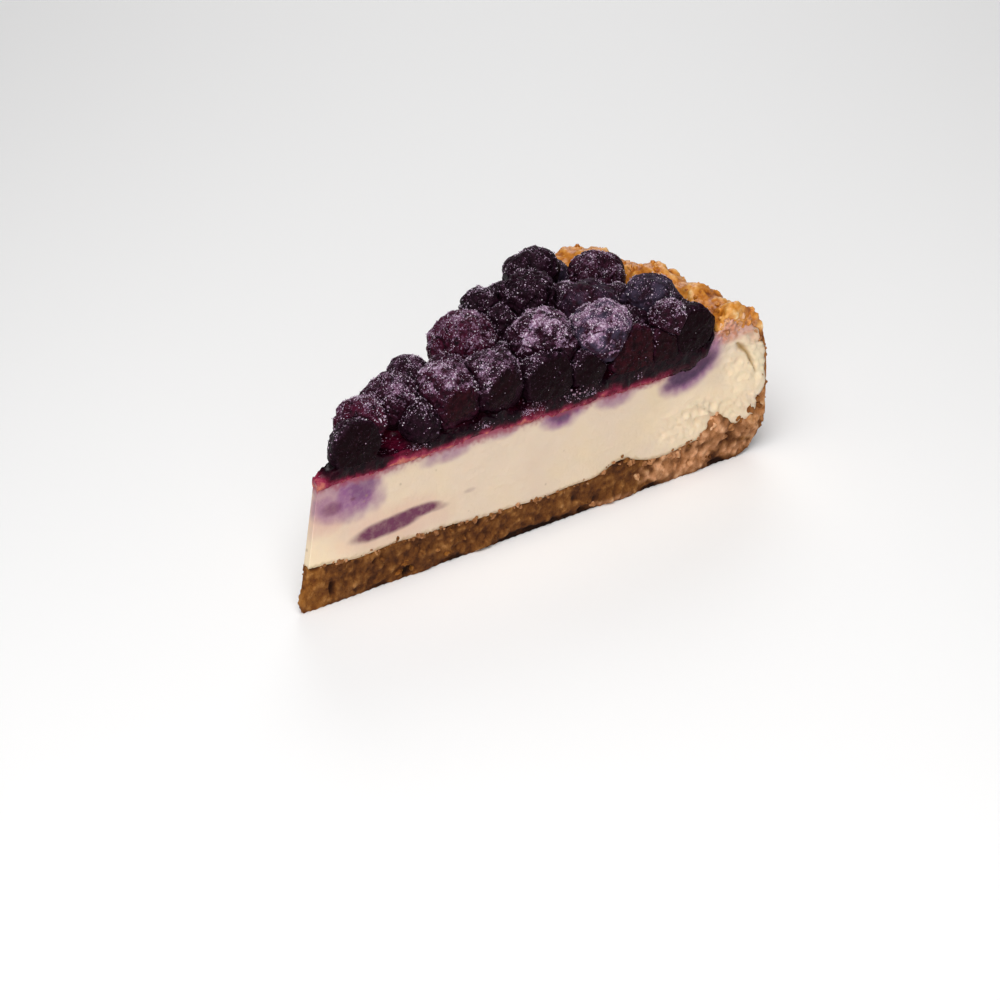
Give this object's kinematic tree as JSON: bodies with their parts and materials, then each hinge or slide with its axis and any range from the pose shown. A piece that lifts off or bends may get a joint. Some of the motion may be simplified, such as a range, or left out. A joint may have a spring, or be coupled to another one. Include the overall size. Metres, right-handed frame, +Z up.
{
  "type": "cheesecake slice",
  "caption": "Wedge of baked cheesecake on a crumb crust that turns up at the rim, topped with set berry juice and a heap of sugared dark berries.",
  "frame": {"origin": "middle of the bounding box at the height of the crust's flat underside", "axes": "+X from the tip to the rim along the middle of the slice, +Y towards the far cut, +Z up"},
  "size_m": [0.1256, 0.058, 0.0478],
  "materials": {
    "crust": "baked crumb, dry and rough",
    "filling": "smooth set cream, soft sheen",
    "berry_juice": "wet set juice",
    "berry": "dark skin with a bloom and sugar"
  },
  "bodies": {
    "root": {"crust": "crust", "filling": "filling", "berry_juice": "berry_juice", "berry_01": "berry", "berry_02": "berry", "berry_03": "berry", "berry_04": "berry", "berry_05": "berry", "berry_06": "berry", "berry_07": "berry", "berry_08": "berry", "berry_09": "berry", "berry_10": "berry", "berry_11": "berry", "berry_12": "berry", "berry_13": "berry", "berry_14": "berry", "berry_15": "berry", "berry_16": "berry", "berry_17": "berry", "berry_18": "berry", "berry_19": "berry", "berry_20": "berry", "berry_21": "berry", "berry_22": "berry", "berry_23": "berry", "berry_24": "berry", "berry_25": "berry", "berry_26": "berry", "berry_27": "berry", "berry_28": "berry", "berry_29": "berry", "berry_30": "berry", "berry_31": "berry"}
  },
  "joints": []
}
